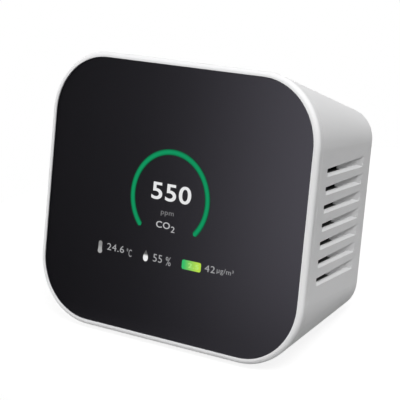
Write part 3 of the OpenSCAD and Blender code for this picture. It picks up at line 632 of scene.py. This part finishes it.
readout = {
    "rowGlow": (0.88, 1.0),  # between the rows of picture elements, and on them
    "base": (0.003, 0.003, 0.003, 1),
    "roughness": 0.2,
}
glows = {  # the colour a finish glows in; with two, from the first to the second as its shade grows
    "litWhite": [(0.84, 0.84, 0.85)],
    "litPale": [(0.50, 0.50, 0.51)],
    "litGrey": [(0.38, 0.38, 0.39)],
    "litSoft": [(0.33, 0.33, 0.34)],
    "litDim": [(0.18, 0.18, 0.185)],
    "litGauge": [(0.002, 0.085, 0.032), (0.005, 0.33, 0.125)],
    "litChip": [(0.04, 0.53, 0.15), (0.50, 0.76, 0.08)],
    "litLime": [(0.50, 0.90, 0.26)],
    "litDrop": [(0.11, 0.11, 0.11), (0.90, 0.90, 0.90)],
    "litBar": [(0.27, 0.27, 0.27), (0.40, 0.40, 0.40)],
}


def litFinish(name, look, colour, shaded=None):
    material, tree, bsdf = startFinish(name)
    tone = colour
    if shaded:
        shade = add(tree, "Attribute", {}, attribute_name="shade").outputs["Fac"]
        tone = mixed(tree, shade, (*colour, 1), (*shaded, 1))
    rows = ranged(tree, useGroup(tree, pixelRows)["Row"], *look["rowGlow"])
    glow = add(tree, "VectorMath", {0: tone, "Scale": rows}, operation="SCALE").outputs["Vector"]
    tree.links.new(glow, bsdf.inputs["Emission Color"])
    bsdf.inputs["Base Color"].default_value = look["base"]
    bsdf.inputs["Roughness"].default_value = look["roughness"]
    bsdf.inputs["Specular IOR Level"].default_value = 0.0
    bsdf.inputs["Emission Strength"].default_value = 1.0
    return material


lit = {glowName: litFinish(glowName, readout, *tones) for glowName, tones in glows.items()}


def signPlace(sign):
    # how far each point of a sign lies to the right and up, in mm from the middle of the glass
    away = (meshPoints(sign.data) - face["middle"]) / mm
    return away @ face["right"], away @ face["up"]


def shadeSign(sign, shade):
    # a number at each point of a sign, held between 0 and 1
    layer = sign.data.attributes.new("shade", "FLOAT", "POINT")
    layer.data.foreach_set("value", np.clip(shade, 0.0, 1.0).astype(np.float32))


gauge = {  # mm and degrees
    "x": -0.53, "z": 1.37, "radius": 12.32, "line": 1.6, "from": 221.0, "to": -41.0, "steps": 160,
}


def gaugeSign(look):
    # bright along the middle of the arc, fading as the square of the distance from it
    arc = arcSign("gauge_arc", face, look, lit["litGauge"])
    x, z = signPlace(arc)
    away = np.hypot(x - look["x"], z - look["z"]) - look["radius"]
    shadeSign(arc, 1 - (away * 2 / look["line"]) ** 2)


gaugeSign(gauge)

# words; x from, x to, z from and z to in mm on the glass; weight of the strokes; finish
lettering = {
    "reading_number": ("550", (-6.6, 6.41, 0.5, 5.2), 0.014, "litWhite"),
    "reading_unit": ("ppm", (-2.95, 1.33, -3.65, -2.3), 0.01, "litDim"),
    "reading_gas": ("CO", (-4.19, 0.4, -6.95, -5.18), 0.012, "litPale"),
    "reading_gas_index": ("2", (0.75, 2.05, -7.6, -6.0), 0.0, "litPale"),
    "temperature_number": ("24.6", (-20.1, -14.2, -15.9, -14.0), 0.0, "litGrey"),
    "temperature_unit": ("°C", (-13.24, -11.51, -16.5, -14.4), 0.0, "litSoft"),
    "humidity_number": ("55", (-4.2, -1.2, -16.35, -14.25), 0.0, "litGrey"),
    "humidity_unit": ("%", (0.05, 1.75, -16.7, -14.3), 0.0, "litSoft"),
    "dust_number": ("42", (12.84, 16.1, -16.0, -14.2), 0.0, "litGrey"),
    "dust_unit": ("µg/m³", (16.7, 21.96, -16.05, -14.23), 0.0, "litSoft"),
}
for signName, (words, span, weight, glowName) in lettering.items():
    writing(signName, words, span, weight, lit[glowName])

thermometer = {  # mm
    "x": -22.52, "low": -17.28, "high": -13.75, "bulb": 0.76, "stem": 0.62, "steps": 48,
    "dimAfter": 3.0,  # radii of the bulb above the low end, where the brighter part has faded out
}


def thermometerSign(look):
    # half width over the height: the larger of a round bulb and a stem with a round top
    z = np.linspace(look["low"], look["high"], look["steps"])
    bulb = np.sqrt(np.maximum(look["bulb"] ** 2 - (z - look["low"] - look["bulb"]) ** 2, 0.0))
    above = np.maximum(z - look["high"] + look["stem"], 0.0)
    stem = np.sqrt(np.maximum(look["stem"] ** 2 - above ** 2, 0.0)) * (z > look["low"] + look["bulb"])
    width = np.maximum(bulb, stem)
    x = np.full_like(z, look["x"])
    sign = plate("thermometer_sign", face, x, z, width, np.zeros_like(z), lit["litBar"])
    height = (signPlace(sign)[1] - look["low"]) / look["bulb"]
    shadeSign(sign, look["dimAfter"] - height)


thermometerSign(thermometer)

droplet = {  # mm
    "x": -6.74, "low": -16.78, "high": -13.7, "radius": 0.80, "steps": 48,
    "dimAfter": 0.66,  # share of the height above which the tip is dim
    "fade": 5.0,  # how sharply
}


def dropletSign(look):
    # a drop: the half width is a sine over the height, drawn in towards the tip
    turn = np.linspace(0.0, math.pi, look["steps"])
    height = look["high"] - look["low"]
    z = look["low"] + height * (1 - np.cos(turn)) / 2
    width = np.sin(turn) * np.cos(turn / 2)
    width = look["radius"] * width / width.max()
    x = np.full_like(z, look["x"])
    sign = plate("droplet_sign", face, x, z, width, np.zeros_like(z), lit["litDrop"])
    share = (signPlace(sign)[1] - look["low"]) / height
    shadeSign(sign, look["fade"] * (look["dimAfter"] - share))


dropletSign(droplet)

chip = {  # mm
    "left": 5.4, "right": 11.6, "low": -16.62, "high": -14.08, "corner": 0.5, "steps": 64,
    "shadeFrom": -0.15,  # green turns to yellow as the shade grows from here
    "shadeTo": 1.25,
    "words": "2.5", "wordsSpan": (7.5, 10.9, -15.95, -14.75), "weight": 0.0,
}


def colourChip(look):
    # half height along the chip, less the rise of a quarter circle at each end
    x = np.linspace(look["left"], look["right"], look["steps"])
    inside = np.minimum(np.minimum(x - look["left"], look["right"] - x), look["corner"])
    half = (look["high"] - look["low"]) / 2 - look["corner"]
    half = half + np.sqrt(look["corner"] ** 2 - (look["corner"] - inside) ** 2)
    middle = np.full_like(x, (look["high"] + look["low"]) / 2)
    sign = plate("colour_chip", face, x, middle, np.zeros_like(x), half, lit["litChip"])
    share = (signPlace(sign)[0] - look["left"]) / (look["right"] - look["left"])
    shadeSign(sign, look["shadeFrom"] + share * (look["shadeTo"] - look["shadeFrom"]))
    writing("chip_number", look["words"], look["wordsSpan"], look["weight"], lit["litLime"],
            lift=2 * inlay["lift"] + inlay["thickness"])


colourChip(chip)
print("readout made")


# the rear: a printed sign on the button and the contacts of the socket

power = {  # mm and degrees
    "x": 0.0, "z": 0.0, "radius": 1.25, "line": 0.3, "from": 410.0, "to": 130.0, "steps": 72,
    "barFrom": 0.2, "barTo": 1.65, "barSteps": 8,
}


def powerSign(look):
    # an open ring, and a short bar in its gap
    cap = sheetOn("power_button", -faceRight, faceUp, -faceOut)
    arcSign("power_ring", cap, look, finishes["black_plastic"], "button")
    z = np.linspace(look["barFrom"], look["barTo"], look["barSteps"])
    x = np.full_like(z, look["x"])
    plate("power_bar", cap, x, z, np.full_like(z, look["line"] / 2), np.zeros_like(z),
          finishes["black_plastic"], "button")


powerSign(power)

contacts = {"count": 6, "pitch": 1.0, "width": 0.5, "length": 4.0, "back": 0.3, "steps": 4}  # mm


def socketContacts(look):
    # gilt strips on both faces of the tongue, along its depth
    points = meshPoints(nodes["socket_tongue"].data)
    tip = (points @ -faceOut).max()
    for side, out in (("upper", faceUp), ("lower", -faceUp)):
        tongue = sheetOn("socket_tongue", -faceRight, -faceOut, out)
        end = (tip - tongue["middle"] @ -faceOut) / mm - look["back"]
        z = np.linspace(end - look["length"], end, look["steps"])
        for k in range(look["count"]):
            x = np.full_like(z, (k - (look["count"] - 1) / 2) * look["pitch"])
            plate("socket_contact_%s_%d" % (side, k + 1), tongue, x, z,
                  np.full_like(z, look["width"] / 2), np.zeros_like(z), finishes["brass"])


socketContacts(contacts)
print("rear dressed")
